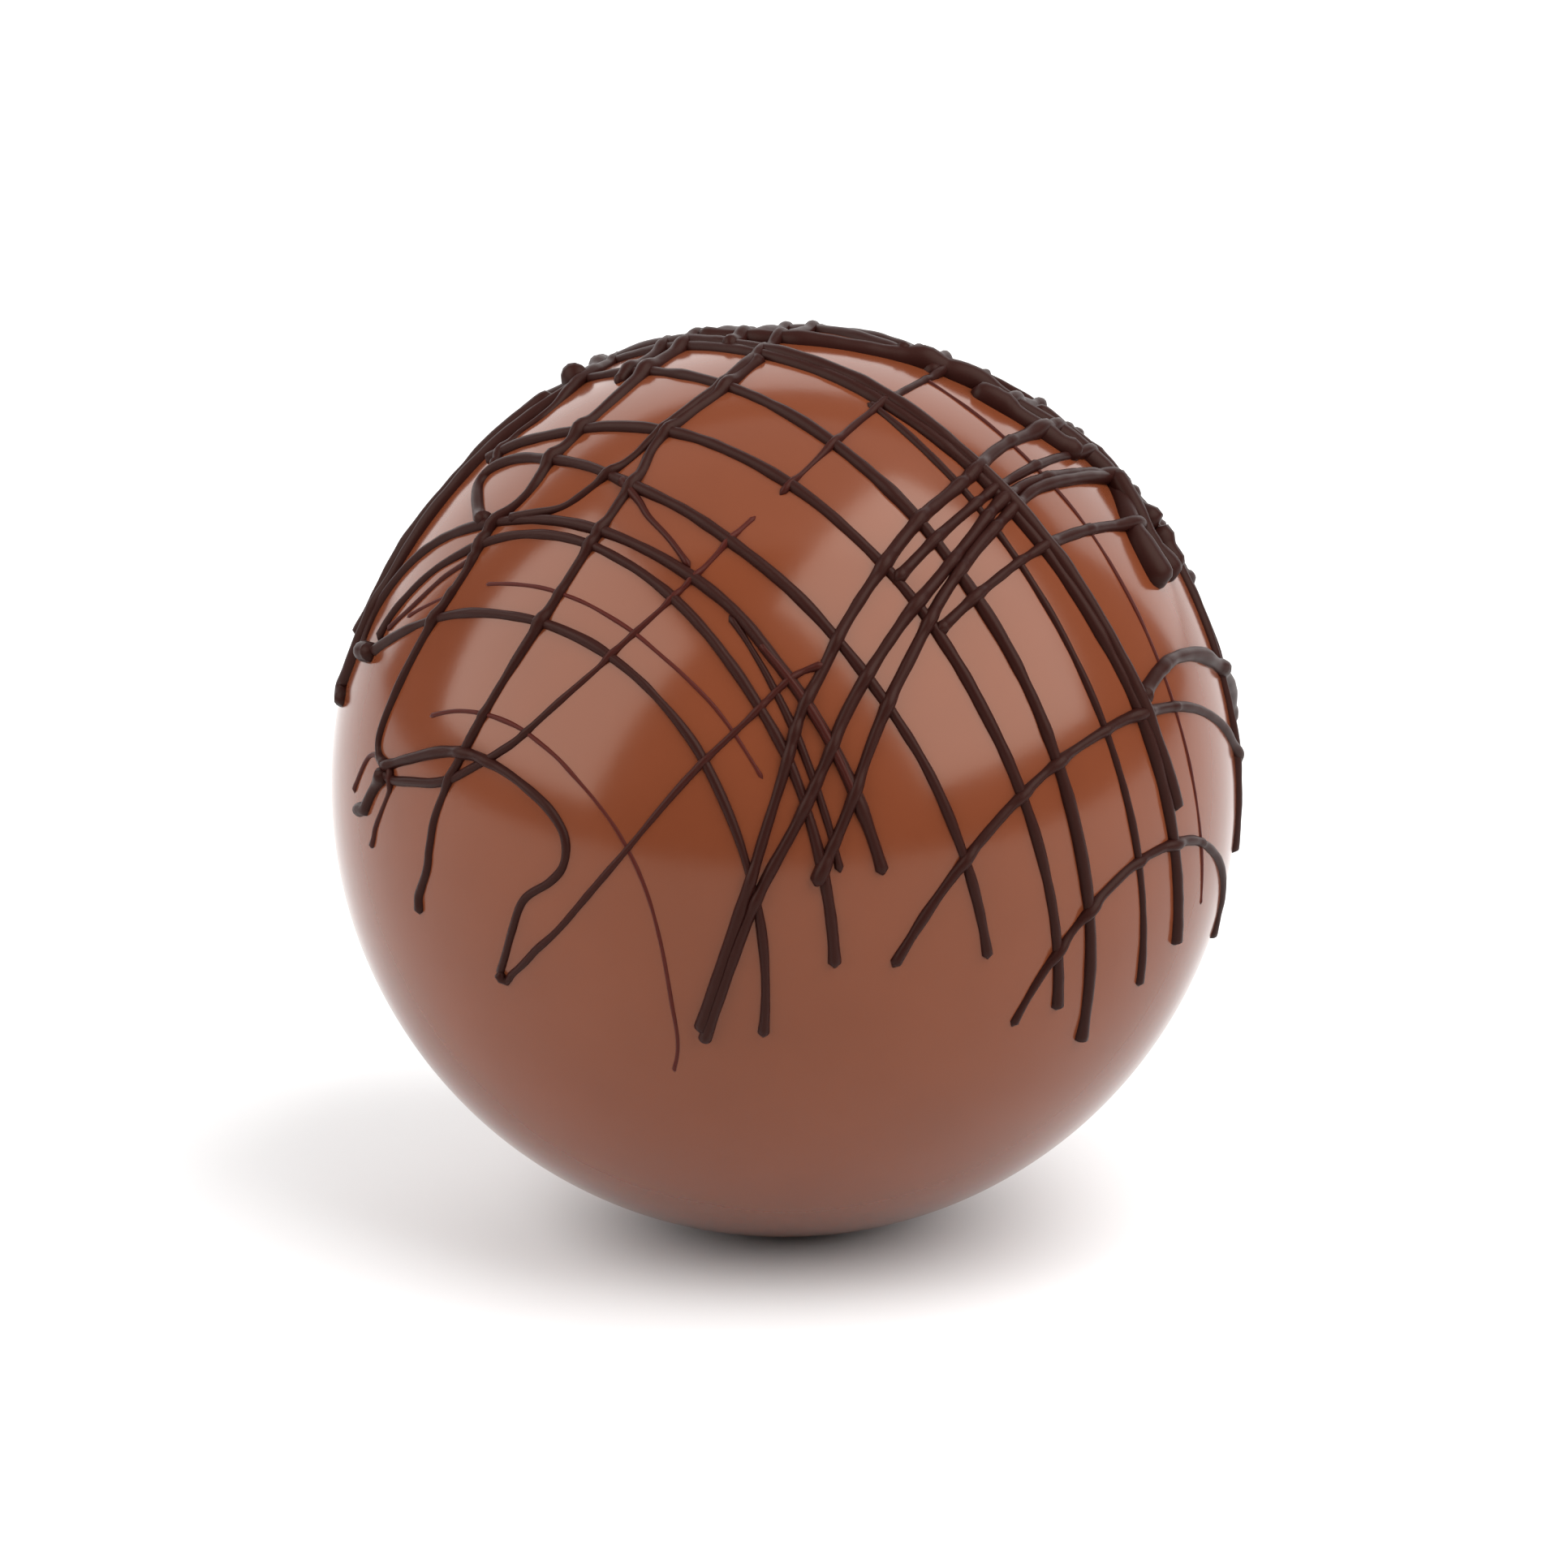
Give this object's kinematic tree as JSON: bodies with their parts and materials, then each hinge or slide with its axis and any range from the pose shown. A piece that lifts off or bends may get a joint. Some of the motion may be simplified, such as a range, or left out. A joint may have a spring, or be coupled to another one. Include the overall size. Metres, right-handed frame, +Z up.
{
  "type": "hot chocolate sphere",
  "caption": "Closed ball of milk chocolate with strands of darker chocolate poured crosswise over its upper half, standing on a small flat.",
  "frame": {"origin": "centre of the small flat that the ball stands on", "axes": "+Z up through the middle of the ball, +X to the right and -Y towards the viewer as pictured; the drizzled half faces up, over to -Y and a little to +X"},
  "size_m": [0.0644, 0.0643, 0.0643],
  "materials": {
    "milk_chocolate": "moulded milk chocolate, satin gloss",
    "dark_drizzle": "poured dark chocolate, satin gloss"
  },
  "bodies": {
    "root": {"drizzled_sphere": "milk_chocolate"}
  },
  "joints": []
}
